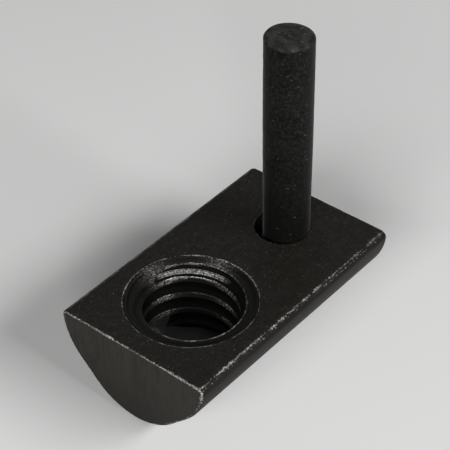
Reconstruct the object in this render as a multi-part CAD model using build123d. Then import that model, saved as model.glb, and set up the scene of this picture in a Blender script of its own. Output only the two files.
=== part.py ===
"""Roll-in T-slot nut with a flexible handle.

The nut is a short length of drawn steel bar with a flat face and a round belly.  Its shape
lets it drop through the slot of an aluminium profile on its side and roll upright under the
lips.  A screw then pulls the flat face up against those lips.  A soft rod stands in a second
hole and is the handle that holds the nut while the screw is started.

Frame: the origin is where the thread axis meets the clamping face.  +Z leaves that face,
+X runs along the nut towards the handle, and +Y runs across it.  Units are millimetres.
"""

import os
from math import ceil, cos, radians, sin, tan

from build123d import *

# The bar that the nut is cut from, seen along its length.
BODY_WIDTH = 12.1  # across the clamping face, before its long corners are rounded
BODY_HEIGHT = 6.2  # clamping face to the lowest line of the belly
CORNER_RADIUS = 0.5  # round along both long corners of the clamping face
NOSE_RADIUS = 4.6  # lowest arc of the belly
FLANK_ANGLE = 45.0  # degrees from level, of the flat between nose and side

# The sawn blank.
BODY_LENGTH = 20.0
THREAD_TO_END = 6.0  # thread axis to the near sawn end
END_ROUND = 0.15  # tumbled edge all round both sawn ends

# The tapped hole, right-handed 5/16-18 UNC, with a lead-in cone.
THREAD_MAJOR = 7.94  # bottom of the groove
THREAD_MINOR = 6.53  # the tapping drill, which leaves the crests
THREAD_PITCH = 25.4 / 18
THREAD_FLANKS = 60.0  # degrees between the two sides of the groove
THREAD_START = 133.5  # degrees about Z, where the groove's middle crosses the clamping face
SINK_DIAMETER = 9.1
SINK_ANGLE = 110.0  # degrees, the whole cone

# The handle and its stepped hole.
HANDLE_TO_END = 4.1  # axis of the handle's hole to the far sawn end
HANDLE_DIAMETER = 3.3
HANDLE_REACH = 15.7  # clamping face to the handle's tip
HANDLE_RECESS = 0.5  # the foot stops this far above the lowest line of the belly
TIP_ROUND = 0.3  # edge of the cut tip
RELIEF_CLEARANCE = 0.6  # how much wider the mouth of the hole is than the handle
RELIEF_DEPTH = 3.0
RIM_GAP = 0.02  # left between the handle and the rim that it leans on
RIM_DIRECTION = -51.0  # degrees about Z, the side of the mouth that it leans on
BEND_TOP = 0.3  # the handle is straight from this far under the clamping face
TIP_LEAN = 0.17  # how far the tip stands back from the side that the handle leans on

CUT_OVERRUN = 1.0  # each cutter runs past the metal by this much
GROOVE_OVERLAP = 0.4  # how deep the tap's ridge is rooted in the tap's core

HANDLE_X = BODY_LENGTH - THREAD_TO_END - HANDLE_TO_END


def bar_section():
    """The bar's outline, level across and Y up: flat face, round corners, flanks and nose."""
    half_width = BODY_WIDTH / 2
    flank = radians(FLANK_ANGLE)
    nose_end_across = NOSE_RADIUS * sin(flank)
    nose_end_up = NOSE_RADIUS * (1 - cos(flank)) - BODY_HEIGHT

    # The side arc leaves the face square to it and runs into the flank without a corner.
    corner_to_flank = -(half_width - nose_end_across) * sin(flank) - nose_end_up * cos(flank)
    side_radius = corner_to_flank / (1 - sin(flank))
    side_start = (half_width - side_radius * (1 - sin(flank)), -side_radius * cos(flank))

    with BuildSketch() as section:
        with BuildLine():
            nose = JernArc((0, -BODY_HEIGHT), (1, 0), NOSE_RADIUS, FLANK_ANGLE)
            Line(nose @ 1, side_start)
            side = JernArc(side_start, (cos(flank), sin(flank)), side_radius, 90 - FLANK_ANGLE)
            Line(side @ 1, (0, 0))
            mirror(about=Plane.YZ)
        make_face()
        corners = section.vertices().filter_by(lambda corner: abs(corner.X) > half_width - 0.01)
        fillet(corners, CORNER_RADIUS)
    return section.sketch


def sawn_blank():
    """The bar cut to length, with the edges of its sawn ends lightly rounded."""
    blank = Pos(-THREAD_TO_END, 0, 0) * extrude(Plane.YZ * bar_section(), BODY_LENGTH)
    sawn_ends = blank.faces().filter_by(Axis.X)
    return fillet(sawn_ends.edges(), END_ROUND)


def thread_tap():
    """A tap: a core as wide as the tapping drill, with the helical ridge that cuts the groove."""
    turns_below = ceil((BODY_HEIGHT + CUT_OVERRUN) / THREAD_PITCH)
    low = -turns_below * THREAD_PITCH
    height = (turns_below + 1) * THREAD_PITCH

    # The ridge is an eighth of the pitch wide at its top, and widens down its two flanks.
    outer = THREAD_MAJOR / 2
    inner = THREAD_MINOR / 2 - GROOVE_OVERLAP
    outer_half = THREAD_PITCH / 16
    inner_half = outer_half + (outer - inner) * tan(radians(THREAD_FLANKS / 2))
    profile = Polyline(
        (inner, 0, -inner_half),
        (outer, 0, -outer_half),
        (outer, 0, outer_half),
        (inner, 0, inner_half),
        close=True,
    )

    # The profile climbs the axis and turns with the helix.
    axis_line = Line((0, 0, low), (0, 0, low + height))
    helix = Helix(THREAD_PITCH, height, THREAD_MINOR / 2, center=(0, 0, low))
    ridge = sweep(Pos(0, 0, low) * make_face(profile), path=axis_line, binormal=helix)

    core = extrude(Circle(THREAD_MINOR / 2), height + 2 * THREAD_PITCH)
    core = Pos(0, 0, low - THREAD_PITCH) * core
    return Rot(0, 0, THREAD_START) * (core + ridge)


def lead_in_cone():
    """The countersink at the mouth of the tapped hole, down to the cone's point."""
    slope = tan(radians(SINK_ANGLE / 2))
    wide_radius = SINK_DIAMETER / 2 + CUT_OVERRUN * slope
    profile = Polyline(
        (0, 0, -SINK_DIAMETER / 2 / slope),
        (wide_radius, 0, CUT_OVERRUN),
        (0, 0, CUT_OVERRUN),
        close=True,
    )
    return revolve(make_face(profile), Axis.Z)


def handle_hole_cutter():
    """The stepped hole: a gripping bore right through and a wider mouth above it."""
    through_depth = BODY_HEIGHT + CUT_OVERRUN
    grip = extrude(Circle(HANDLE_DIAMETER / 2), through_depth)
    mouth_radius = (HANDLE_DIAMETER + RELIEF_CLEARANCE) / 2
    mouth = extrude(Circle(mouth_radius), RELIEF_DEPTH + CUT_OVERRUN)
    grip = Pos(HANDLE_X, 0, -through_depth) * grip
    mouth = Pos(HANDLE_X, 0, -RELIEF_DEPTH) * mouth
    return grip + mouth


def nut_body():
    return sawn_blank() - thread_tap() - lead_in_cone() - handle_hole_cutter()


def flex_handle():
    """A soft round rod: held in the gripping bore, eased over to the rim, then straight."""
    lean = RELIEF_CLEARANCE / 2 - RIM_GAP
    to_rim = Vector(cos(radians(RIM_DIRECTION)), sin(radians(RIM_DIRECTION)), 0)

    foot = Vector(HANDLE_X, 0, HANDLE_RECESS - BODY_HEIGHT)
    bend_start = Vector(HANDLE_X, 0, -RELIEF_DEPTH)
    bend_end = Vector(HANDLE_X, 0, -BEND_TOP) + to_rim * lean
    tip = Vector(HANDLE_X, 0, HANDLE_REACH) + to_rim * (lean - TIP_LEAN)

    up = Vector(0, 0, 1)
    rise = (tip - bend_end).normalized()
    path = Line(foot, bend_start) + Spline(bend_start, bend_end, tangents=(up, rise))
    path += Line(bend_end, tip)
    rod = sweep(Plane(foot) * Circle(HANDLE_DIAMETER / 2), path)
    cut_edge = rod.faces().sort_by(Axis.Z)[-1].edges()
    return fillet(cut_edge, TIP_ROUND)


def main():
    os.makedirs("parts", exist_ok=True)
    export_step(nut_body(), "parts/nut_body.step")
    export_step(flex_handle(), "parts/flex_handle.step")


main()
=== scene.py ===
# %% [markdown]
# # A roll-in slot nut with a soft handle
# The object is a small steel nut, 20 mm long, that drops into the slot of an aluminium
# profile and rolls upright under its lips. It has a flat clamping face, a round belly, a
# tapped hole for the screw, and a second hole that holds a soft rubber rod as its handle.
#
# The packed solids fix every size. This lesson dresses them: it makes a fine mesh for each
# of the two pieces, gives each surface the finish that its making left on it, and lights
# them on a pale table. All lengths below are in millimetres, and MM turns them into metres.

import math

import bmesh
import bpy
import numpy as np
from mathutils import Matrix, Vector, kdtree, noise


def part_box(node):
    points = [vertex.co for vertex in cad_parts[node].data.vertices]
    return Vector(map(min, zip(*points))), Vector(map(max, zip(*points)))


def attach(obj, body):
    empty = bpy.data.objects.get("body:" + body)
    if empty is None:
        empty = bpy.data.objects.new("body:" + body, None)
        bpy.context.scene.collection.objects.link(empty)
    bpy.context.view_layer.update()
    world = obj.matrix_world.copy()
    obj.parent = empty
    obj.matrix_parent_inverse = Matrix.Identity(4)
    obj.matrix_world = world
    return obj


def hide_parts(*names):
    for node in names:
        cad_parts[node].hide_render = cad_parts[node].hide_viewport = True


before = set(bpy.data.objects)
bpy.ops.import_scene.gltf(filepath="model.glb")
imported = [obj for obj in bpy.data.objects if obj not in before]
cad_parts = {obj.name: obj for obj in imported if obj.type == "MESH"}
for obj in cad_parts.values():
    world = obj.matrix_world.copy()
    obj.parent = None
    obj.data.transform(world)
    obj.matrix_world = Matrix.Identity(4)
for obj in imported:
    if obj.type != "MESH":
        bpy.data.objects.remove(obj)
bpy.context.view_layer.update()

MM = 0.001
BODY = "root"
print("nodes:", sorted(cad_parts))

# %% [markdown]
# ## The sizes that both pieces share
# The two holes, the belly and the handle have to meet the solids exactly, so the overall
# sizes are read from the solids' boxes. The radii and the thread can't be read from a box.
# They are the thread's standard sizes and the bar's own radii, named once here. BAR_WIDTH
# is the width that the bar would have if its two long corners weren't rounded.

# %% Read the sizes
nut_low, nut_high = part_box("nut_body")
rod_low, rod_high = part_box("flex_handle")
NEAR_END = nut_low.x / MM
FAR_END = nut_high.x / MM
BELLY = nut_low.z / MM
ROD_TIP = rod_high.z / MM
ROD_FOOT = rod_low.z / MM

BAR_WIDTH = 12.1
CORNER_RADIUS = 0.5
NOSE_RADIUS = 4.6
FLANK = math.radians(45)
END_ROUND = 0.15

THREAD_PITCH = 25.4 / 18
THREAD_MAJOR = 7.94 / 2
THREAD_MINOR = 6.53 / 2
THREAD_START = math.radians(133.5)
SINK_RADIUS = 9.1 / 2
SINK_SLOPE = math.tan(math.radians(63.7))

ROD_RADIUS = 3.3 / 2
MOUTH_RADIUS = 3.9 / 2
MOUTH_DEPTH = 3.0
HOLE_X = FAR_END - 4.1
ROD_X = rod_high.x / MM - ROD_RADIUS
ROD_Y = rod_low.y / MM + ROD_RADIUS
print(f"bar {FAR_END - NEAR_END:.2f} long, {-BELLY:.2f} deep, rod centre {ROD_X:.2f}, {ROD_Y:.2f}")

# %% [markdown]
# ## The bar's outline
# The nut starts as drawn bar. Its outline is a flat top, two small round corners, two side
# arcs, two straight flanks and the nose. Drawing it as points along those arcs, instead of
# sculpting a block, keeps each curve true, and lets the spacing be fine where light will
# catch an edge and coarse where nothing happens.


# %% Draw the outline
def arc(centre, radius, start, end, steps):
    """Points on an arc, in the plane across the bar, without its last point."""
    return [
        (centre[0] + radius * math.cos(a), centre[1] + radius * math.sin(a))
        for a in (start + (end - start) * i / steps for i in range(steps))
    ]


def straight(start, end, steps):
    return [
        (start[0] + (end[0] - start[0]) * i / steps, start[1] + (end[1] - start[1]) * i / steps)
        for i in range(steps)
    ]


def half_outline():
    """The right half of the outline, from the middle of the nose up to the middle of the top."""
    half_width = BAR_WIDTH / 2
    nose_end = (NOSE_RADIUS * math.sin(FLANK), BELLY + NOSE_RADIUS * (1 - math.cos(FLANK)))
    reach = -(half_width - nose_end[0]) * math.sin(FLANK) - nose_end[1] * math.cos(FLANK)
    side_radius = reach / (1 - math.sin(FLANK))
    side_centre = (half_width - side_radius, 0)
    side_start = (side_centre[0] + side_radius * math.sin(FLANK), -side_radius * math.cos(FLANK))
    # The corner arc touches the side arc from within, and touches the flat.
    across = math.sqrt((side_radius - CORNER_RADIUS) ** 2 - CORNER_RADIUS**2)
    corner_centre = (side_centre[0] + across, -CORNER_RADIUS)
    corner_angle = math.atan2(-CORNER_RADIUS, across)
    points = arc((0, BELLY + NOSE_RADIUS), NOSE_RADIUS, -math.pi / 2, FLANK - math.pi / 2, 26)
    points += straight(nose_end, side_start, 10)
    points += arc(side_centre, side_radius, FLANK - math.pi / 2, corner_angle, 24)
    points += arc(corner_centre, CORNER_RADIUS, corner_angle, math.pi / 2, 12)
    points += straight((corner_centre[0], 0), (0, 0), 44)
    return points + [(0, 0)], corner_centre[0]


right_half, FLAT_EDGE = half_outline()
outline = np.array(right_half + [(-y, z) for y, z in right_half[-2:0:-1]])
print(f"outline of {len(outline)} points, flat top {2 * FLAT_EDGE:.2f} wide")

# %% [markdown]
# ## Helpers for meshes
# Each mesh here is rings of points joined by bands of faces. Building it point by point puts
# the points just where they're needed, and keeps the mesh closed, as a solid is. Its small
# unevenness is noise from a fixed formula rather than random numbers, so that the script
# makes the same piece each time it runs.


# %% Write the mesh helpers
def metres(x, y, z):
    """A point given in millimetres, in the metres that the mesh is made in."""
    return (x * MM, y * MM, z * MM)


def wobble(x, y, z, size, seed):
    """Smooth noise between about -1 and 1, with bumps of the given size."""
    return noise.noise(Vector((x / size + seed, y / size - seed, z / size + 2 * seed)))


def band(low, high, around):
    """The faces between two rings, whose first points have the numbers low and high."""
    ahead = [*range(1, around), 0]
    return [(low + i, low + k, high + k, high + i) for i, k in enumerate(ahead)]


def make_solid(name, verts, faces):
    """An object with a closed mesh, all its faces turned outwards."""
    mesh = bpy.data.meshes.new(name)
    mesh.from_pydata(verts, [], faces)
    mesh.validate()
    shape = bmesh.new()
    shape.from_mesh(mesh)
    bmesh.ops.recalc_face_normals(shape, faces=shape.faces)
    if shape.calc_volume(signed=True) < 0:
        bmesh.ops.reverse_faces(shape, faces=shape.faces)
    shape.to_mesh(mesh)
    shape.free()
    solid = bpy.data.objects.new(name, mesh)
    bpy.context.scene.collection.objects.link(solid)
    return solid


print("a band of four faces:", band(0, 4, 4))

# %% [markdown]
# ## The sawn blank
# The bar is sawn to length and tumbled, which rounds the sawn edges a little. The mesh is
# made of rings, one outline after another along the bar. The first and last few rings
# shrink inwards along a quarter circle, and that is the rounded edge.
#
# No real blank is perfect. The top edges were knocked about, so their points are pushed
# around by noise. The long corners are rounded, and they're knocked and worn about halfway
# round, CREASE_OUT beyond the flat and CREASE_DOWN below it.


# %% Make the blank
CREASE_OUT = 0.23
CREASE_DOWN = 0.055
RINGS_ALONG = 140


def outline_normals(points):
    ahead = np.roll(points, -1, axis=0) - np.roll(points, 1, axis=0)
    normals = np.stack([ahead[:, 1], -ahead[:, 0]], axis=1)
    return normals / np.linalg.norm(normals, axis=1)[:, None]


def ring_stations():
    """Places along the bar, each with how far its ring is drawn in."""
    near = []
    steps = 5
    for i in range(steps + 1):
        turn = math.pi / 2 * i / steps
        near.append((NEAR_END + END_ROUND * (1 - math.cos(turn)), END_ROUND * (1 - math.sin(turn))))
    length = FAR_END - NEAR_END - 2 * END_ROUND
    start = NEAR_END + END_ROUND
    middle = [(start + length * i / RINGS_ALONG, 0.0) for i in range(1, RINGS_ALONG)]
    far = [(NEAR_END + FAR_END - x, inset) for x, inset in reversed(near)]
    return near + middle + far


def knock(x, y, z, reach=0.28, deepest=0.05):
    """How far an edge point has been pushed in, in millimetres."""
    to_crease = math.hypot(abs(y) - FLAT_EDGE - CREASE_OUT, z + CREASE_DOWN)
    to_end = math.hypot(min(x - NEAR_END, FAR_END - x), z)
    near_edge = max(0.0, 1 - min(to_crease, to_end) / reach)
    chewed = 0.5 + 0.5 * wobble(x, y, z, 0.22, 3.1) + 0.35 * wobble(x, y, z, 0.6, 8.7)
    return deepest * near_edge * max(0.0, chewed)


def make_blank():
    stations = ring_stations()
    inward = -outline_normals(outline)
    verts = []
    for x, inset in stations:
        ring = outline + inward * inset
        for (y, z), (out_y, out_z) in zip(ring, -inward):
            push = knock(x, y, z)
            verts.append(metres(x, y - out_y * push, z - out_z * push))
    around = len(outline)
    faces = []
    for i in range(len(stations) - 1):
        faces += band(i * around, (i + 1) * around, around)
    # Each end is filled by smaller and smaller outlines, down to a point in the middle.
    middle = np.array([0.0, BELLY / 2])
    for x, start in ((NEAR_END, 0), (FAR_END, (len(stations) - 1) * around)):
        rings = [outline + inward * inset for inset in (0.2, 0.27, 0.36)]
        rings += [middle + (rings[2] - middle) * share for share in (0.9, 0.75, 0.5, 0.25)]
        for ring in rings:
            low = len(verts)
            verts += [metres(x, y, z) for y, z in ring]
            faces += band(start, low, around)
            start = low
        centre = len(verts)
        verts.append(metres(x, *middle))
        faces += [(start + j, start + (j + 1) % around, centre) for j in range(around)]
    return make_solid("slot_nut", verts, faces)


slot_nut = make_blank()
print("blank:", len(slot_nut.data.polygons), "faces")

# %% [markdown]
# ## The tap
# A tap cuts the thread: it is a core as wide as the drilled hole, with a ridge that climbs
# round it. The ridge's top is an eighth of the pitch wide and its sides slope at 30 degrees.
# Real taps leave small rounds in the root and at the crests, so the ridge has them too.
#
# A screw modifier could sweep the profile, but then its wall would need joining to itself.
# Here the wall is one grid. Each row of points follows the helix, so no row crosses a
# crest, and after a full turn a row runs into the row one pitch above it.


# %% Make the tap
def thread_profile():
    """(height, radius) over one pitch, from the middle of the groove's root."""
    root_half = THREAD_PITCH / 16
    slope = math.tan(math.radians(30))
    crest_start = root_half + (THREAD_MAJOR - THREAD_MINOR) * slope
    root = ((0, 0.005), (root_half * 0.7, 0.01), (root_half + 0.02, 0.045), (root_half + 0.06, 0.11))
    half = [(height, THREAD_MAJOR - shallower) for height, shallower in root]
    for share in (0.3, 0.45, 0.6, 0.75, 0.88):
        height = root_half + (crest_start - root_half) * share
        half.append((height, THREAD_MAJOR - (height - root_half) / slope))
    crest = ((-0.025, 0.048), (0, 0.018), (0.03, 0.004), (0.07, 0))
    half += [(crest_start + step, THREAD_MINOR + deeper) for step, deeper in crest]
    full = half + [(THREAD_PITCH / 2, THREAD_MINOR)]
    full += [(THREAD_PITCH - height, radius) for height, radius in reversed(half[1:])]
    return full


def make_tap(around=240):
    profile = thread_profile()
    rows_per_turn = len(profile)
    turns_below = math.ceil((1 - BELLY) / THREAD_PITCH) + 1
    turns = turns_below + 2
    rows = turns * rows_per_turn

    def point(i, j):
        turn, step = divmod(j, rows_per_turn)
        height, radius = profile[step]
        climb = height + (turn - turns_below) * THREAD_PITCH + THREAD_PITCH * i / around
        angle = THREAD_START + 2 * math.pi * i / around
        return metres(radius * math.cos(angle), radius * math.sin(angle), climb)

    # The first column has the extra rows that the last column runs into.
    index = {}
    verts = []
    for i in range(around):
        for j in range(rows + 1 + (rows_per_turn if i == 0 else 0)):
            index[i, j] = len(verts)
            verts.append(point(i, j))

    def corner(i, j):
        return index[i, j] if i < around else index[0, j + rows_per_turn]

    faces = [
        (corner(i, j), corner(i + 1, j), corner(i + 1, j + 1), corner(i, j + 1))
        for i in range(around)
        for j in range(rows)
    ]
    for j, side in ((0, -1), (rows, 1)):
        loop = [index[i, j] for i in range(around)]
        loop += [index[0, j + step] for step in range(rows_per_turn, 0, -1)]
        centre = len(verts)
        verts.append((0, 0, point(0, j)[2] + side * 2 * THREAD_PITCH * MM))
        faces += [(a, b, centre) for a, b in zip(loop, loop[1:] + loop[:1])]
    return make_solid("tap", verts, faces)


tap = make_tap()
print("tap:", len(tap.data.polygons), "faces")

# %% [markdown]
# ## The round cutters
# The lead-in cone and the handle's stepped hole are turned shapes, so each is a profile
# spun about its axis. The profile flares where it meets the clamping face. That leaves a
# small round at the rim, which catches the light the way a used rim does.


# %% Make the cone and the handle's hole
def tube_faces(rings, around):
    """The bands between one ring and the next, and a flat face at both ends."""
    faces = []
    for ring in range(rings - 1):
        faces += band(ring * around, (ring + 1) * around, around)
    return faces + [tuple(range(end, end + around)) for end in (0, (rings - 1) * around)]


def spin(name, profile, centre_x, around):
    """A closed solid from (radius, height) points, spun about an upright axis."""
    turns = [2 * math.pi * i / around for i in range(around)]
    verts = [
        metres(centre_x + radius * math.cos(turn), radius * math.sin(turn), height)
        for radius, height in profile
        for turn in turns
    ]
    return make_solid(name, verts, tube_faces(len(profile), around))


def rim_flare(radius, wall_angle, size):
    """Points that turn a wall outwards, almost flat, as it reaches the clamping face."""
    last_angle = math.radians(12)
    centre_radius = radius + size
    points = []
    for i in range(5):
        angle = wall_angle + (last_angle - wall_angle) * i / 4
        points.append((centre_radius - size * math.sin(angle), size * (math.cos(angle) - 1)))
    lift = -points[-1][1]
    beyond = 0.4
    return points + [(points[-1][0] + (beyond + lift) / math.tan(last_angle), beyond)]


def cone_profile(inner=1.6, rim_round=0.12, rim_inset=0.091, steps=64):
    """The cone's wall, with shallow rings from the countersink's teeth, and its rim."""
    wall_angle = math.pi / 2 - math.atan(SINK_SLOPE)
    flare = rim_flare(SINK_RADIUS - rim_inset, wall_angle, rim_round)
    top_radius, top_height = flare[0]
    wall = []
    for i in range(steps):
        radius = inner + (top_radius - inner) * i / steps
        ring_mark = 0.008 * wobble(radius, 0, 0, 0.11, 5.3) + 0.006 * wobble(radius, 0, 0, 0.3, 1.9)
        wall.append((radius, top_height - (top_radius - radius) / SINK_SLOPE + ring_mark))
    return wall + flare


cone = spin("cone_cutter", cone_profile(), 0.0, 240)

# From below the belly upwards: the grip bore, the step with its edges eased, the mouth.
hole_flare = rim_flare(MOUTH_RADIUS, math.pi / 2, 0.05)
hole_profile = [
    (ROD_RADIUS + 0.01, BELLY - 1.0),
    (ROD_RADIUS + 0.01, -MOUTH_DEPTH - 0.15),
    (MOUTH_RADIUS - 0.02, -MOUTH_DEPTH),
    (MOUTH_RADIUS, -MOUTH_DEPTH + 0.05),
    (MOUTH_RADIUS, -1.5),
]
handle_hole = spin("handle_hole_cutter", hole_profile + hole_flare, HOLE_X, 128)
print("cone and hole cutters:", len(cone.data.polygons), len(handle_hole.data.polygons))

# %% [markdown]
# ## Cutting the holes
# A boolean modifier takes each cutter from the blank, just as the drill, tap and
# countersink do. The manifold solver is used, because all the meshes are closed, and it
# keeps the result closed. Each cutter is deleted once it has done its work.


# %% Cut the holes
def cut(piece, cutter):
    modifier = piece.modifiers.new("cut", "BOOLEAN")
    modifier.operation = "DIFFERENCE"
    modifier.solver = "MANIFOLD"
    modifier.object = cutter
    graph = bpy.context.evaluated_depsgraph_get()
    result = bpy.data.meshes.new_from_object(piece.evaluated_get(graph))
    piece.modifiers.clear()
    old = piece.data
    piece.data = result
    bpy.data.meshes.remove(old)
    bpy.data.objects.remove(cutter)


for cutter in (tap, cone, handle_hole):
    cut(slot_nut, cutter)
slot_nut.data.materials.clear()
print("nut after cutting:", len(slot_nut.data.polygons), "faces")

# %% [markdown]
# ## Where the coating is worn
# Black oxide is a thin coating, and it wears off first along sharp edges. To paint that,
# the material must know how far each point is from the nearest sharp edge. That distance is
# worked out here and kept on the mesh as an attribute, in millimetres. A distance stays
# exact between the points, so even a line a tenth of a millimetre wide comes out crisp.
#
# The sharp edges are the crease along each long corner and the outline of each sawn end.
# The bar's outline is closed, so the gap to it is the smallest gap to any of its segments.


# %% Write the distance helpers
def to_outline(y, z):
    """Distance from each point to the bar's outline, seen along the bar."""
    nearest = np.full(len(y), 1e9)
    ahead = np.roll(outline, -1, axis=0)
    for (ay, az), (by, bz) in zip(outline, ahead):
        length = (by - ay) ** 2 + (bz - az) ** 2
        share = np.clip(((y - ay) * (by - ay) + (z - az) * (bz - az)) / length, 0, 1)
        gap = np.hypot(y - ay - share * (by - ay), z - az - share * (bz - az))
        nearest = np.minimum(nearest, gap)
    return nearest


def thread_height(x, y, z):
    """How far each point is above the middle of the groove's root, within one pitch."""
    share_of_turn = (np.arctan2(y, x) - THREAD_START) / (2 * math.pi)
    return np.mod(z - THREAD_PITCH * share_of_turn, THREAD_PITCH)


def store(mesh, name, values):
    """Keep one number per point on the mesh, where the materials can read it."""
    attribute = mesh.attributes.new(name, "FLOAT", "POINT")
    attribute.data.foreach_set("value", np.asarray(values, dtype=np.float32))


def side_share(around, sides, spread):
    """1 towards each of the given sides, falling to 0 away from it. All three are in degrees."""
    return np.maximum(*[np.exp(-(((around - side) / spread) ** 2)) for side in sides])


middle_gap = to_outline(np.array([0.0]), np.array([BELLY / 2]))[0]
print("gap from the middle of the bar to its outline:", round(middle_gap, 2))

# %% [markdown]
# ## Measuring the wear
# The thread's crests get a distance of their own, because the screw rubs them, and they
# wear in another way. Two sides of the hole get more bare metal than the rest, a little
# further round on the cone than on the crests: partly wear, and partly painted highlight.
# That's kept too, as a share from 0 to 1. The two sides and the spread of the patches are
# in degrees.
#
# The ends' worn lines lie on their rounded edges. The lower a point is there, the further
# away it counts, because little rubs it. A crest's wear reaches further down than up.


# %% Measure the distances to the edges
# The sides of extra wear and painted highlight on the crests and the cone, and their spread.
CREST_WEAR_AND_HIGHLIGHT_SIDES = ((75, -9), 13)
CONE_WEAR_AND_HIGHLIGHT_SIDES = ((80, 12), 12)


def measure_wear(piece):
    mesh = piece.data
    points = np.empty(len(mesh.vertices) * 3)
    mesh.vertices.foreach_get("co", points)
    x, y, z = points.reshape(-1, 3).T / MM
    from_axis = np.hypot(x, y)
    crease = np.hypot(np.abs(y) - FLAT_EDGE - CREASE_OUT, z + CREASE_DOWN)
    inside = to_outline(y, z)
    near_end = np.hypot(x - NEAR_END, inside - 0.09)
    far_end = np.hypot(FAR_END - x, inside) - 0.06
    sawn = np.maximum(0, np.minimum(near_end + 0.02, far_end)) + 0.03 * np.clip(-z - 0.2, 0, 2)
    rim = np.hypot(from_axis - SINK_RADIUS, z)
    land_half = THREAD_PITCH / 2 - THREAD_PITCH / 16 - (THREAD_MAJOR - THREAD_MINOR) / math.sqrt(3)
    above_land = thread_height(x, y, z) - THREAD_PITCH / 2 - land_half
    crest = np.hypot(from_axis - THREAD_MINOR, np.where(above_land > 0, above_land, 0.45 * above_land))
    around = np.degrees(np.arctan2(y, x))
    to_edge = np.minimum(crease, sawn)
    # Two sides each of extra bare metal, partly wear and partly painted highlight.
    store(mesh, "rubbed", side_share(around, *CREST_WEAR_AND_HIGHLIGHT_SIDES))
    store(mesh, "rubbed_cone", side_share(around, *CONE_WEAR_AND_HIGHLIGHT_SIDES))
    store(mesh, "to_edge", to_edge)
    store(mesh, "to_rim", np.minimum(rim, np.hypot(np.hypot(x - HOLE_X, y) - MOUTH_RADIUS, z)))
    store(mesh, "to_crest", crest)
    return to_edge


edge_distance = measure_wear(slot_nut)
print("points within 0.1 mm of a sharp edge:", int((edge_distance < 0.1).sum()))

# %% [markdown]
# ## Which surface is which
# The bar was drawn, sawn, drilled and tapped, and each of those leaves its own marks. So
# each face of the mesh gets the number of the surface it belongs to. The direction that a
# face points in, and how far it is from each hole's axis, are enough to tell.

# %% Sort the faces by how they were made
CLAMP_FACE, SAWN_ENDS, DRAWN_SIDES, CUT_CONE, CUT_THREAD, ROD_HOLE = range(6)


def sort_faces(piece, below=-0.012, near=0.05):
    """Number each face. Faces lower than `below` and `near` a hole belong to that hole."""
    counts = [0] * 6
    for face in piece.data.polygons:
        x, y, z = face.center / MM
        out = face.normal
        radius = math.hypot(x, y)
        above_cone = z + (SINK_RADIUS - radius) / SINK_SLOPE
        if z < below and radius < SINK_RADIUS + near:
            kind = CUT_CONE if abs(above_cone) < 0.03 and out.z > 0.6 else CUT_THREAD
        elif z < below and math.hypot(x - HOLE_X, y) < MOUTH_RADIUS + near and abs(out.z) < 0.9:
            kind = ROD_HOLE
        elif abs(out.x) > 0.7:
            kind = SAWN_ENDS
        elif out.z > 0.85:
            kind = CLAMP_FACE
        else:
            kind = DRAWN_SIDES
        face.material_index = kind
        face.use_smooth = True
        counts[kind] += 1
    return counts


print("faces of each kind:", sort_faces(slot_nut))

# %% [markdown]
# ## The burr at the lip
# Where the thread breaks out into the cone, the cutting edge tears the metal a little and
# leaves a thin uneven ridge. It's far too small for the solids, but it catches the light. A
# search tree finds how far each point is from that lip. The nearest points are then pushed
# up, by noise, so that the ridge is ragged.


# %% Raise the burr
def measure_lip(piece):
    """Distance from each point to the seam where the thread breaks out into the cone."""
    kinds = {}
    for face in piece.data.polygons:
        if face.material_index in (CUT_CONE, CUT_THREAD):
            for index in face.vertices:
                kinds.setdefault(index, set()).add(face.material_index)
    places = [vertex.co.copy() for vertex in piece.data.vertices]
    seam = [index for index, kind in kinds.items() if len(kind) == 2]
    tree = kdtree.KDTree(len(seam))
    for index in seam:
        tree.insert(places[index], index)
    tree.balance()
    far = 9.0
    away = [tree.find(p)[2] / MM if i in kinds else far for i, p in enumerate(places)]
    store(piece.data, "to_lip", away)
    return away


def raise_burr(piece, away, height=0.05, width=0.075):
    """Push the lip up into a thin uneven ridge."""
    raised = 0
    for vertex, distance in zip(piece.data.vertices, away):
        if distance < width:
            x, y, z = vertex.co / MM
            torn = 0.75 + 0.5 * wobble(x, y, z, 0.3, 7.7) + 0.3 * wobble(x, y, z, 0.12, 2.4)
            vertex.co.z += height * (1 - distance / width) * max(0.15, torn) * MM
            raised += 1
    return raised


to_lip = measure_lip(slot_nut)
print("points raised along the lip:", raise_burr(slot_nut, to_lip))
slot_nut.data.set_sharp_from_angle(angle=math.radians(30))

# %% [markdown]
# ## The soft handle
# The handle is a rubber rod, cut to length. It is gripped in the narrow part of its hole,
# then eases over to one side of the wider mouth and stands there. A tube built ring by ring
# can follow that line, and can also have the small unevenness of an extruded rod, which a
# perfect cylinder lacks. It swells a little above the nut, where nothing grips it, and its
# cut end isn't quite flat or quite round.


# %% Make the handle
TIP_LEAN = 0.17
BEND_TOP = 0.3
TIP_ROUND = 0.28
SWELL = 0.055


def rod_centre(z):
    """The middle of the rod at a height: straight, an easy bend in the mouth, straight."""
    share = min(1.0, max(0.0, (z + MOUTH_DEPTH) / (MOUTH_DEPTH - BEND_TOP)))
    ease = share * share * (3 - 2 * share)
    rise = max(0.0, (z + BEND_TOP) / (ROD_TIP + BEND_TOP))
    lean = Vector((ROD_X - HOLE_X, ROD_Y)).normalized() * TIP_LEAN * rise
    return HOLE_X + (ROD_X - HOLE_X) * ease - lean.x, ROD_Y * ease - lean.y


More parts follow.
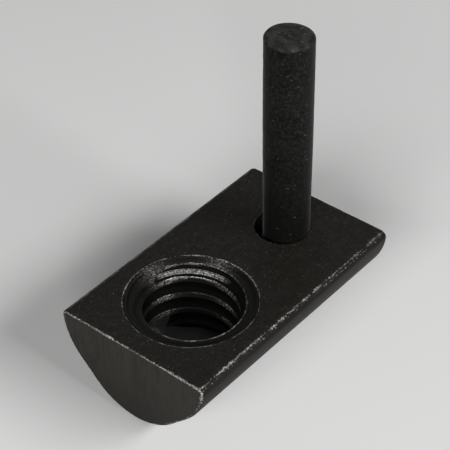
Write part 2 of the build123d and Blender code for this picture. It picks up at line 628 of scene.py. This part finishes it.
def rod_rings(count=170):
    """(height, radius) of each ring from the foot's middle to the tip's middle."""
    wall_radius = ROD_RADIUS - 0.008
    rings = [(ROD_FOOT, ROD_RADIUS * share) for share in (0.35, 0.7, 0.9)]
    top = ROD_TIP - TIP_ROUND
    rings += [(ROD_FOOT + (top - ROD_FOOT) * i / count, wall_radius) for i in range(count + 1)]
    for i in range(1, 7):
        turn = math.pi / 2 * i / 6
        rings.append((top + TIP_ROUND * math.sin(turn), wall_radius - TIP_ROUND * (1 - math.cos(turn))))
    rings += [(ROD_TIP, (ROD_RADIUS - TIP_ROUND) * share) for share in (0.9, 0.75, 0.55, 0.3)]
    return rings


def rod_point(height, radius, angle, tip_depth=0.3):
    """A point of the handle's skin, with its unevenness, its swell and the tip's slope."""
    x, y = math.cos(angle), math.sin(angle)
    centre_x, centre_y = rod_centre(height)
    free = min(1.0, max(0.0, height - 0.3))
    uneven = 0.012 * wobble(x, y, height, 0.7, 2.2)
    uneven += 0.006 * wobble(x * 1.5, y * 1.5, height, 0.22, 6.4)
    swell = SWELL * min(1.0, max(0.0, height / 8))
    wide = radius * (1 + (free * uneven + swell) / ROD_RADIUS)
    near_tip = max(0.0, (height - ROD_TIP + tip_depth) / tip_depth)
    slope = 0.5 + 0.5 * wobble(radius * x, radius * y, 0, 1.1, 4.6)
    drop = 0.09 * near_tip * slope
    return metres(centre_x + wide * x, centre_y + wide * y, height - drop)


def make_rod(around=112):
    rings = rod_rings()
    verts = [
        rod_point(height, radius, 2 * math.pi * i / around)
        for height, radius in rings
        for i in range(around)
    ]
    rod = make_solid("soft_rod", verts, tube_faces(len(rings), around))
    for face in rod.data.polygons:
        face.use_smooth = True
    return rod


soft_rod = make_rod()
print("rod:", len(soft_rod.data.polygons), "faces")

# %% [markdown]
# ## Helpers for nodes
# A node material is a graph, and it reads better when each node takes one line. This class
# adds a node to a tree and fills its sockets, from a plain value or from another node's
# output. The materials use it, and so does the sky further down.


# %% Write the node helpers
class Nodes:
    """A node tree, with a short way to add nodes to it."""

    def __init__(self, tree):
        self.tree = tree

    def fill(self, node, sockets):
        for key, value in sockets.items():
            socket = node.inputs[key.replace("_", " ") if isinstance(key, str) else key]
            if isinstance(value, bpy.types.NodeSocket):
                self.tree.links.new(value, socket)
            else:
                socket.default_value = value

    def add(self, kind, operation=None, sockets=None, output=0):
        node = self.tree.nodes.new(kind)
        if operation:
            node.operation = operation
        self.fill(node, sockets or {})
        return node.outputs[output]

    def maths(self, operation, a, b=0.0):
        return self.add("ShaderNodeMath", operation, {0: a, 1: b})

    def plus(self, a, b):
        return self.maths("ADD", a, b)

    def minus(self, a, b):
        return self.maths("SUBTRACT", a, b)

    def times(self, a, b):
        return self.maths("MULTIPLY", a, b)

    def larger(self, a, b):
        return self.maths("MAXIMUM", a, b)


print("node helpers:", [name for name in vars(Nodes) if not name.startswith("_")])

# %% [markdown]
# ## Helpers for finishes
# Every pattern starts from `mm`, the point's own place in millimetres, so a noise of scale 5
# has about five bumps to a millimetre. Three scales in place of one stretch it. A ramp then
# turns the noise into clear patches, and a mix lays a colour over them. Each finish is
# built up that way, from the coating outwards.


# %% Write the finish helpers
class Finish(Nodes):
    """A material, and the patterns that all the finishes are made of."""

    def __init__(self, name, **sockets):
        self.material = bpy.data.materials.new(name)
        self.material.use_nodes = True
        super().__init__(self.material.node_tree)
        self.shader = self.tree.nodes["Principled BSDF"]
        self.fill(self.shader, sockets)
        place = self.tree.nodes.new("ShaderNodeTexCoord").outputs["Object"]
        self.mm = self.add("ShaderNodeVectorMath", "MULTIPLY", {0: place, 1: (1 / MM,) * 3})

    def xyz(self):
        """The three coordinates of the point, in millimetres."""
        return tuple(self.add("ShaderNodeSeparateXYZ", None, {0: self.mm}).node.outputs)

    def noise(self, scale, detail=4.0, roughness=0.55, turn=0.0, vector=None):
        """Noise with so many bumps to a millimetre: one number, or one for each direction."""
        vector = vector or self.mm
        if isinstance(scale, tuple):
            stretch = {"Vector": vector, "Rotation": (0, 0, math.radians(turn)), "Scale": scale}
            vector, scale = self.add("ShaderNodeMapping", None, stretch), 1.0
        sockets = {"Vector": vector, "Scale": scale, "Detail": detail, "Roughness": roughness}
        return self.add("ShaderNodeTexNoise", None, sockets)

    def ramp(self, value, low, high, out_low=0.0, out_high=1.0):
        """A smooth step from out_low, at the value low, to out_high, at the value high."""
        sockets = {0: value, 1: low, 2: high, 3: out_low, 4: out_high}
        output = self.add("ShaderNodeMapRange", None, sockets)
        output.node.interpolation_type = "SMOOTHSTEP"
        return output

    def mix(self, factor, a, b):
        """Colour a where the factor is 0, and colour b where it's 1."""
        node = self.tree.nodes.new("ShaderNodeMix")
        node.data_type = "RGBA"
        a = a if isinstance(a, bpy.types.NodeSocket) else (*a, 1)
        b = b if isinstance(b, bpy.types.NodeSocket) else (*b, 1)
        self.fill(node, {0: factor, 6: a, 7: b})
        return node.outputs[2]

    def distance(self, name):
        """One of the numbers that were kept on the mesh."""
        node = self.tree.nodes.new("ShaderNodeAttribute")
        node.attribute_name = name
        return node.outputs["Fac"]

    def surface(self, colour, roughness, height, strength, metallic=0.0, depth=0.00002):
        """Join the colour, roughness and bumps to the shader, and hand the material over."""
        bumps = {"Height": height, "Strength": strength, "Distance": depth}
        self.fill(self.shader, {
            "Base Color": colour,
            "Metallic": metallic,
            "Roughness": roughness,
            "Normal": self.add("ShaderNodeBump", None, bumps),
        })
        return self.material


def dress(piece, material):
    """Give the piece its next finish. They're added in the order of the surface numbers."""
    piece.data.materials.append(material)
    print(piece.name, "finish", len(piece.data.materials) - 1, "is", material.name)


print("finish helpers:", [name for name in vars(Finish) if not name.startswith("_")])

# %% [markdown]
# ## Worn edges
# All the steel finishes share one thing: bare metal shows where the coating has rubbed off
# an edge. A clean line would look painted. Here a fine noise decides grain by grain, and
# the chance of bare metal falls with the distance from the edge. So the middle of the line
# is nearly solid, its sides are ragged, and a few specks lie further out. A slow noise along
# the edge makes some stretches more worn than others.


# %% Make the worn line
GRAINS = 9.0
FINE_GRAINS = 11.0


def worn_line(f, attribute, reach, wear, grains=GRAINS):
    """1 on bare metal. Half the grains are bare at half of reach, when wear is 0.5."""
    fine = f.noise(grains, 3.0, 0.7)
    slow = f.minus(f.noise(0.9, 2.0, 0.5), 0.5)
    level = f.plus(fine, f.times(slow, 0.7))
    away = f.times(f.distance(attribute), 0.2 / reach)
    bar = f.plus(away, 0.4 + (0.5 - wear) * 0.4)
    return f.ramp(f.minus(level, bar), -0.015, 0.045)


def edge_wear(f, reach, wear):
    """The sharp edges' line, which is duller towards the end with the handle."""
    duller = f.ramp(f.xyz()[0], NEAR_END + 6, FAR_END, 1.0, 0.55)
    return f.times(worn_line(f, "to_edge", reach, wear, FINE_GRAINS), duller)


def less_below(f, worn):
    """The same line, broken into faint dashes below the clamp face, where little rubs it."""
    dashes = f.ramp(f.noise(3.0, 2.0, 0.6), 0.46, 0.54, 0.12, 0.75)
    kept = f.ramp(f.xyz()[2], -0.3, -0.6, 1.0, 0.0)
    return f.times(worn, f.larger(kept, dashes))


def bare_steel(f, dim=0.1, bright=0.5):
    """The colour of bare metal: each grain is a little brighter or duller."""
    grains = f.ramp(f.noise(7.0, 2.0, 0.6), 0.35, 0.65)
    return f.mix(grains, (dim, dim * 0.97, dim * 0.92), (bright, bright * 0.97, bright * 0.92))


print(f"the grains of a worn line are about {1 / GRAINS:.2f} mm wide")

# %% [markdown]
# ## The clamping face
# The flat face is drawn steel under black oxide, dull and nearly black. Handling has left
# fine scratches in all directions, small dings, a few pale specks, and slow changes of tone.
# Each is a noise pattern at its own scale. The scratches are cut into the bumps too, because
# a scratch shows mostly by how it reflects.


# %% Finish the clamping face
def hairlines(f, scale, turn, width, amount):
    """Thin wandering lines: where a stretched noise passes through its middle value."""
    field = f.noise(scale, 2.0, 0.5, turn)
    off_middle = f.maths("ABSOLUTE", f.minus(field, 0.5))
    line = f.ramp(off_middle, width, width * 0.3)
    broken = f.noise((0.8, 0.8, 0.8), 3.0, turn=turn + 20)
    return f.times(line, f.ramp(broken, 1 - amount, 1.02 - amount))


def clamp_face_finish():
    f = Finish("black_oxide_flat", Specular_IOR_Level=0.08)
    tone = f.ramp(f.noise(0.35, 5.0, 0.6), 0.3, 0.7)
    mottle = f.ramp(f.noise(1.7, 4.0, 0.65), 0.36, 0.66)
    grain = f.ramp(f.noise(7.0, 3.0, 0.7), 0.35, 0.75)
    colour = f.mix(tone, (0.0045, 0.0042, 0.0034), (0.0085, 0.008, 0.0066))
    colour = f.mix(f.times(mottle, 0.45), colour, (0.0145, 0.0136, 0.0114))
    colour = f.mix(f.times(grain, 0.75), colour, (0.021, 0.0197, 0.0166))
    dark_grain = f.ramp(f.noise((5, 5, 5), 3.0, 0.7, 33), 0.5, 0.32)
    colour = f.mix(f.times(dark_grain, 0.7), colour, (0.003, 0.0028, 0.0022))
    scratches = 0.0
    for scale, turn, width, amount in (
        ((0.25, 3.2, 1), 24, 0.01, 0.5),
        ((0.2, 4.2, 1), -37, 0.008, 0.48),
        ((0.3, 5.0, 1), 68, 0.008, 0.45),
        ((0.12, 2.6, 1), 3, 0.006, 0.48),
    ):
        scratches = f.larger(scratches, hairlines(f, scale, turn, width, amount))
    colour = f.mix(f.times(scratches, 0.22), colour, (0.045, 0.042, 0.038))
    specks = f.ramp(f.noise(4.5, 2.0, 0.6), 0.65, 0.75)
    colour = f.mix(f.times(specks, 0.8), colour, (0.12, 0.113, 0.1))
    dings = f.ramp(f.noise((1.9, 3.04, 1.9), 3.0, 0.7, 40), 0.64, 0.7)
    colour = f.mix(f.times(dings, 0.5), colour, (0.07, 0.066, 0.058))
    worn = edge_wear(f, 0.085, 0.54)
    worn = f.larger(worn, worn_line(f, "to_rim", 0.05, 0.42))
    colour = f.mix(worn, colour, bare_steel(f, 0.07, 0.36))
    roughness = f.ramp(f.noise(1.6, 4.0), 0.3, 0.7, 0.42, 0.56)
    height = f.plus(grain, f.times(scratches, -0.8))
    return f.surface(colour, roughness, height, 0.35, f.times(worn, 0.5))


dress(slot_nut, clamp_face_finish())

# %% [markdown]
# ## The sawn ends
# A saw leaves close parallel lines across the metal. They're darker and lighter stripes of
# uneven width, so the pattern is noise squeezed hard in one direction. A second, wider set
# is where the blade wandered. The colour is a little darker towards the belly, as painted shade.


# %% Finish the sawn ends
def sawn_finish():
    f = Finish("black_oxide_sawn", Specular_IOR_Level=0.12)
    lines = f.noise((1, 7.0, 0.35), 3.0, 0.65)
    bands = f.noise((1, 1.6, 0.15), 2.0, 0.5)
    grain = f.noise(10.0, 3.0, 0.7)
    both = f.plus(f.times(lines, 0.6), f.times(bands, 0.4))
    mottle = f.noise((1, 1.6, 0.9), 4.0, 0.65)
    colour = f.mix(f.ramp(both, 0.4, 0.6), (0.0125, 0.0111, 0.0092), (0.0235, 0.0206, 0.0174))
    colour = f.mix(f.ramp(mottle, 0.42, 0.66, 0.0, 0.5), colour, (0.027, 0.0238, 0.02))
    colour = f.mix(f.ramp(grain, 0.55, 0.8, 0.0, 0.5), colour, (0.045, 0.041, 0.035))
    # Painted shade: the colour darkens towards the belly.
    low = f.ramp(f.xyz()[2], BELLY, -1.5, 0.45, 0.0)
    colour = f.mix(low, colour, (0.0085, 0.0078, 0.0063))
    worn = less_below(f, worn_line(f, "to_edge", 0.11, 0.68))
    colour = f.mix(worn, colour, bare_steel(f))
    roughness = f.ramp(both, 0.35, 0.65, 0.42, 0.58)
    return f.surface(colour, roughness, f.plus(both, f.times(grain, 0.25)), 0.5, f.times(worn, 0.5))


dress(slot_nut, sawn_finish())

# %% [markdown]
# ## The drawn sides and belly
# Drawing pulls the bar through a die, and the die scores it lengthwise. The streaks run the
# whole length, so the noise is stretched along the bar. The rounded corner above the belly
# is coloured as a darker band with a clear lower border. The sides are paler towards the
# handle, as painted light, and darker underneath, as painted shade. A few stray
# specks of bare metal lie beside the worn edge.


# %% Finish the drawn sides
STRAY_FROM_EDGE = 0.2


def drawn_finish():
    f = Finish("black_oxide_drawn", Specular_IOR_Level=0.03)
    streaks = f.noise((0.16, 6.0, 6.0), 4.0, 0.62)
    bands = f.noise((0.05, 1.4, 1.4), 2.0, 0.5)
    grain = f.noise((5.0, 10.0, 10.0), 3.0, 0.7)
    both = f.plus(f.times(streaks, 0.65), f.times(bands, 0.35))
    streak = f.ramp(both, 0.38, 0.62)
    colour = f.mix(streak, (0.0092, 0.0082, 0.0071), (0.0255, 0.0226, 0.0198))
    colour = f.mix(f.ramp(grain, 0.56, 0.8, 0.0, 0.6), colour, (0.045, 0.041, 0.037))
    x, y, z = f.xyz()
    border = f.minus(f.noise((0.5, 0.5, 0.5), 3.0, 0.6), 0.5)
    shoulder = f.ramp(f.plus(z, f.times(border, 0.25)), -0.56, -0.5)
    dark = f.mix(streak, (0.0088, 0.0083, 0.0074), (0.0155, 0.0147, 0.0132))
    # Painted light: the sides are paler towards the handle.
    colour = f.mix(f.ramp(x, NEAR_END, FAR_END, 0.0, 0.4), colour, (0.033, 0.0292, 0.0256))
    # Painted shade: the sides are darker underneath.
    colour = f.mix(f.ramp(z, -1.0, -3.8, 0.0, 0.9), colour, (0.0055, 0.0047, 0.0038))
    colour = f.mix(shoulder, colour, dark)
    worn = less_below(f, edge_wear(f, 0.09, 0.54))
    beside = f.maths("ABSOLUTE", f.minus(f.distance("to_edge"), STRAY_FROM_EDGE))
    level = f.minus(f.noise(7.0, 3.0, 0.7), f.times(beside, 2.0))
    worn = f.larger(worn, f.times(f.ramp(level, 0.54, 0.6), 0.5))
    colour = f.mix(worn, colour, bare_steel(f, 0.07, 0.36))
    roughness = f.ramp(both, 0.35, 0.65, 0.4, 0.55)
    return f.surface(colour, roughness, f.plus(both, f.times(grain, 0.3)), 0.45, f.times(worn, 0.5))


dress(slot_nut, drawn_finish())

# %% [markdown]
# ## The lead-in cone
# A countersink is turned into the hole, and each tooth of it leaves a ring. So the pattern
# follows the distance from the hole's axis. The coating is dull here, apart from two grainy
# patches of bare metal that are partly wear and partly painted highlight, the rim, and the
# lip where the thread breaks out. The lip's bare line is partly wear on a real burr and
# partly painted highlight, brightest towards the camera and on the side across from it.


# %% Finish the cone
# The camera's side of the hole, in degrees round: the lip's painted highlights lie on it and across
# from it.
CAMERA_SIDE = -141


def from_hole_axis(f):
    """The point's coordinates, and its distance from the tapped hole's axis."""
    x, y, z = f.xyz()
    radius = f.maths("SQRT", f.plus(f.times(x, x), f.times(y, y)))
    return x, y, z, radius


def towards(f, degrees):
    """How far a point lies from the hole's axis in a direction, in millimetres."""
    way = (math.cos(math.radians(degrees)), math.sin(math.radians(degrees)), 0)
    return f.add("ShaderNodeVectorMath", "DOT_PRODUCT", {0: f.mm, 1: way}, 1)


def lip_wear_and_highlight(f, reach):
    """The lip's line: bare, with painted highlight, towards the camera and across from it, and faint
    between and at the run-out.
    """
    pushed = towards(f, CAMERA_SIDE)
    # Painted highlight: the lip is bright towards the camera and across from it.
    sides = f.larger(f.ramp(pushed, 1.0, 2.0, 0.2, 1.0), f.ramp(pushed, -2.5, -3.3, 0.0, 0.9))
    runout = f.ramp(towards(f, CAMERA_SIDE - 90), 1.7, 1.95, 1.0, 0.2)
    broken = f.ramp(f.noise(2.2, 2.0, 0.6), 0.44, 0.54, 0.3, 1.0)
    share = f.times(broken, f.times(sides, runout))
    return f.times(worn_line(f, "to_lip", reach, 0.9), share)


def turned(f, x, y, radius, rings):
    """That many rings to a millimetre round the hole's axis, changing slowly round it."""
    ringed = f.add("ShaderNodeCombineXYZ", None, {
        0: f.times(radius, rings),
        1: f.times(x, 0.16),
        2: f.times(y, 0.16),
    })
    return f.noise(1.0, 3.0, 0.65, vector=ringed)


def cone_finish():
    f = Finish("black_oxide_cone", Specular_IOR_Level=0.05)
    x, y, _, radius = from_hole_axis(f)
    rings = turned(f, x, y, radius, 9.0)
    grain = f.noise(9.0, 3.0, 0.7)
    ringed = f.ramp(rings, 0.36, 0.56, 0.35, 1.0)
    # Grainy patches on two sides: partly wear, partly painted highlight.
    patches = f.times(f.ramp(grain, 0.42, 0.62, 0.06, 0.5), ringed)
    bare = f.times(f.distance("rubbed_cone"), patches)
    bare = f.larger(bare, lip_wear_and_highlight(f, 0.07))
    bare = f.larger(bare, worn_line(f, "to_rim", 0.055, 0.6))
    colour = f.mix(f.ramp(rings, 0.4, 0.6), (0.0025, 0.0024, 0.0022), (0.0098, 0.0094, 0.0084))
    colour = f.mix(f.ramp(grain, 0.6, 0.8, 0.0, 0.6), colour, (0.04, 0.039, 0.036))
    colour = f.mix(bare, colour, bare_steel(f, 0.06, 0.38))
    roughness = f.ramp(rings, 0.35, 0.65, 0.25, 0.4)
    return f.surface(colour, roughness, f.plus(rings, f.times(grain, 0.25)), 0.6, f.times(bare, 0.6))


dress(slot_nut, cone_finish())

# %% [markdown]
# ## The cut thread
# The tap leaves fine rings too. The groove's sloping sides are coloured nearly black, as
# painted shade down in the thread. Each crest is a dull grey band with a bare upper edge, and
# the edge widens into bright grains on two sides, partly wear and partly painted highlight.
# The bright wear fades deeper in the hole, as painted shade. Only the first slope, just under
# the cone, has a bright band, on the side away from the camera, where its upper edge is bare
# too. The band is partly metallic, so it shines where it mirrors the sky; its pale colour is in part a
# painted highlight.


# %% Finish the thread
# The bright band on the first slope: partly burnished metal, partly painted highlight.
BURNISH_AND_HIGHLIGHT_RADIUS = 3.63
BURNISH_AND_HIGHLIGHT_HALF = 0.14


def thread_finish():
    f = Finish("black_oxide_cut", Specular_IOR_Level=0.04)
    x, y, z, radius = from_hole_axis(f)
    rings = turned(f, x, y, radius, 9.0)
    grain = f.noise(9.0, 3.0, 0.7)
    # Painted shade: the groove is coloured nearly black, the crests a dull grey.
    colour = f.mix(f.ramp(rings, 0.42, 0.6), (0.0012, 0.0012, 0.001), (0.0028, 0.0027, 0.0023))
    land = f.ramp(radius, THREAD_MINOR + 0.06, THREAD_MINOR + 0.01)
    colour = f.mix(land, colour, (0.0085, 0.0083, 0.0075))
    rubbed = f.distance("rubbed")
    # Bright grains on two sides: partly wear, partly painted highlight.
    grains = f.times(f.ramp(grain, 0.46, 0.6), f.times(land, rubbed))
    line = worn_line(f, "to_crest", 0.035, 0.45)
    worn = f.larger(f.times(line, f.ramp(rubbed, 0.0, 0.8, 0.15, 0.9)), grains)
    # Painted shade: the bright wear fades deeper in the hole.
    worn = f.times(worn, f.ramp(z, -4.8, -3.4, 0.1, 1.0))
    # A bright band and a bare upper edge on the first slope, on the far side from the camera: partly
    # metallic, partly painted highlight.
    off_band = f.maths("ABSOLUTE", f.minus(radius, BURNISH_AND_HIGHLIGHT_RADIUS))
    band = f.ramp(off_band, BURNISH_AND_HIGHLIGHT_HALF * 1.2, BURNISH_AND_HIGHLIGHT_HALF * 0.8)
    band = f.times(band, f.ramp(turned(f, x, y, radius, 13.0), 0.4, 0.6, 0.2, 0.95))
    first = f.times(f.ramp(z, -1.3, -1.0), f.ramp(towards(f, CAMERA_SIDE), -2.5, -3.2))
    band = f.times(band, first)
    top_edge = f.times(worn_line(f, "to_crest", 0.05, 0.7), first)
    for more in (band, top_edge, lip_wear_and_highlight(f, 0.05)):
        worn = f.larger(worn, more)
    colour = f.mix(worn, colour, bare_steel(f, 0.06, 0.44))
    roughness = f.ramp(rings, 0.35, 0.65, 0.3, 0.45)
    return f.surface(colour, roughness, f.plus(rings, f.times(grain, 0.4)), 0.6, f.times(worn, 0.6))


dress(slot_nut, thread_finish())

# %% [markdown]
# ## The handle's hole
# Nothing rubs inside this hole, so it's just dark oxide with faint drill rings.


# %% Finish the handle's hole
def rod_hole_finish():
    f = Finish("black_oxide_bore", Specular_IOR_Level=0.1)
    rings = f.noise((0.4, 0.4, 9.0), 3.0, 0.6)
    colour = f.mix(f.ramp(rings, 0.4, 0.62), (0.005, 0.0048, 0.0042), (0.013, 0.0125, 0.011))
    return f.surface(colour, f.ramp(rings, 0.35, 0.65, 0.4, 0.6), rings, 0.4)


dress(slot_nut, rod_hole_finish())

# %% [markdown]
# ## The rubber
# The rod is matt black rubber. Extruding and cutting leave it with fine marks that run
# round it, and dust clings to it as pale specks. Rubber scatters light at a grazing angle,
# which the shader's sheen gives. The colour darkens towards the foot, as painted shade, and
# the cut tip is paler: torn rubber, and painted light on its top.


# %% Finish the rod
def rubber_finish():
    f = Finish("matt_rubber", Specular_IOR_Level=0.08, Sheen_Weight=0.13, Sheen_Roughness=0.3)
    marks = f.noise((0.9, 0.9, 6.0), 4.0, 0.65)
    tone = f.noise(0.5, 3.0, 0.5)
    grain = f.noise(5.0, 3.0, 0.7)
    colour = f.mix(f.ramp(marks, 0.38, 0.64), (0.0008, 0.0008, 0.0006), (0.004, 0.004, 0.0034))
    colour = f.mix(f.ramp(tone, 0.4, 0.65, 0.0, 0.25), colour, (0.009, 0.0088, 0.008))
    colour = f.mix(f.ramp(grain, 0.44, 0.7, 0.0, 0.7), colour, (0.02, 0.0197, 0.0179))
    z = f.xyz()[2]
    # Painted shade: the rod darkens towards its foot.
    colour = f.mix(f.ramp(z, 0.0, 10.0, 0.85, 0.0), colour, (0.0016, 0.0016, 0.0014))
    specks = f.ramp(f.noise((3, 3, 4.5), 2.0, 0.6), 0.67, 0.78, 0.0, 0.8)
    colour = f.mix(specks, colour, (0.075, 0.073, 0.069))
    # The cut tip: torn rubber, paler in part as painted light on its top.
    tip = f.ramp(z, ROD_TIP - 0.35, ROD_TIP - 0.15, 0.0, 0.75)
    torn = f.ramp(f.noise((2.2, 1.4, 2), 4.0, 0.7, 30), 0.36, 0.64)
    torn = f.mix(torn, (0.01, 0.0098, 0.009), (0.043, 0.0423, 0.0394))
    torn = f.mix(f.ramp(f.noise(3.4, 2.0, 0.6), 0.62, 0.72), torn, (0.13, 0.128, 0.12))
    colour = f.mix(tip, colour, torn)
    roughness = f.ramp(grain, 0.3, 0.7, 0.6, 0.78)
    return f.surface(colour, roughness, f.plus(marks, f.times(grain, 0.5)), 0.5, depth=0.00004)


dress(soft_rod, rubber_finish())

# %% [markdown]
# ## Tying the pieces to the solids
# Each dressed piece stands for one packed solid, which is hidden, and rides on the body.
# Nothing here moves, so there's a single body.

# %% Tie the pieces
for piece, node, slot in (
    (slot_nut, "nut_body", "black_steel"),
    (soft_rod, "flex_handle", "soft_rubber"),
):
    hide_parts(node)
    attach(piece, BODY)
    print(piece.name, "replaces", node)

# %% [markdown]
# ## The table
# The nut rests on its belly, so the table touches its lowest line. It's plain and pale, so
# that a black part stands out from it. It's staged: it belongs to the picture and isn't a
# piece of the object.


# %% Lay the table
def make_table(half=0.6, gap=0.00002):
    """A square sheet, its half size and its gap below the belly in metres."""
    corners = [(-half, -half, 0), (half, -half, 0), (half, half, 0), (-half, half, 0)]
    mesh = bpy.data.meshes.new("table")
    mesh.from_pydata(corners, [], [(0, 1, 2, 3)])
    table = bpy.data.objects.new("table", mesh)
    table.location.z = BELLY * MM - gap
    bpy.context.scene.collection.objects.link(table)
    f = Finish("pale_table", Metallic=0.0, Roughness=0.9, Specular_IOR_Level=0.1)
    cloudy = f.ramp(f.noise(0.02, 2.0), 0.3, 0.7)
    f.fill(f.shader, {"Base Color": f.mix(cloudy, (0.78, 0.78, 0.775), (0.8, 0.8, 0.795))})
    mesh.materials.append(f.material)
    return table


table = make_table()
print("table at", round(table.location.z / MM, 2))

# %% [markdown]
# ## The lamps
# Two softboxes face the sawn end and the long side. Both stand low, so hardly any light
# falls through the tapped hole and the table under it stays dark.


# %% Set up the lamps
def towards_place(around, above):
    """The way to a place, from its angles in degrees round from +X and above the table."""
    around, above = math.radians(around), math.radians(above)
    level = math.cos(above)
    return Vector((level * math.cos(around), level * math.sin(around), math.sin(above)))


def soft_light(name, around, above, size, watts, away=0.45):
    """A softbox facing the nut, at two angles in degrees and a distance in metres."""
    place = towards_place(around, above) * away
    light = bpy.data.lights.new(name, "AREA")
    light.shape = "RECTANGLE"
    light.size, light.size_y = size
    light.energy = watts
    lamp = bpy.data.objects.new(name, light)
    lamp.location = place
    lamp.rotation_euler = place.to_track_quat("Z", "Y").to_euler()
    bpy.context.scene.collection.objects.link(lamp)
    return lamp


soft_light("softbox_end", -157, 26, (0.36, 0.16), 1.95)
soft_light("softbox_side", -72, 33, (0.36, 0.12), 1.75)

# %% [markdown]
# ## The sky
# A black part shows what it mirrors more than its own colour. So the world gives almost no
# light of its own, GLOW, but the camera and the reflections see it as pale, from HAZE low
# down to full white overhead. The burnished steel in the cone has that to mirror, and the
# flat face stays dark. The Light Path node tells which kind of ray is asking.

# %% Paint the sky
GLOW = 0.02
HAZE = 0.3

world = bpy.data.worlds.new("studio")
world.use_nodes = True
sky = Nodes(world.node_tree)
rays = sky.add("ShaderNodeLightPath").node.outputs
seen = sky.larger(rays["Is Camera Ray"], rays["Is Glossy Ray"])
seen = sky.larger(seen, rays["Is Transmission Ray"])
direction = sky.add("ShaderNodeTexCoord").node.outputs["Generated"]
upwards = sky.add("ShaderNodeSeparateXYZ", None, {0: direction}, 2)
overhead = sky.add("ShaderNodeMapRange", None, {0: upwards, 1: 0.68, 2: 0.84, 3: HAZE, 4: 1.0})
strength = sky.add("ShaderNodeMapRange", None, {0: seen, 3: GLOW, 4: overhead})
sky.fill(sky.tree.nodes["Background"], {"Color": (1, 1, 1, 1), "Strength": strength})
bpy.context.scene.world = world
print("sky nodes:", len(sky.tree.nodes))

# %% [markdown]
# ## The camera
# The camera looks down at about 39 degrees from near the tapped end, through a long lens,
# so the nut shows its flat face, one sawn end and one side. Its place is given by two
# angles and a distance from the point it looks at, which is easier to adjust than
# coordinates.

# %% Set the camera
AROUND = -140.86
ABOVE = 39.33
AWAY = 107.07
AIM = Vector((3.86, 0.24, 3.80))

lens = bpy.data.cameras.new("camera")
lens.lens = 129.8
lens.sensor_width = 36.0
lens.clip_start = 0.001
lens.clip_end = 10
camera = bpy.data.objects.new("camera", lens)
back = towards_place(AROUND, ABOVE)
camera.location = (AIM + back * AWAY) * MM
camera.rotation_euler = back.to_track_quat("Z", "Y").to_euler()
bpy.context.scene.collection.objects.link(camera)
bpy.context.scene.camera = camera
bpy.context.scene.view_settings.view_transform = "Standard"
print("camera at", [round(v / MM, 1) for v in camera.location])

# %% [markdown]
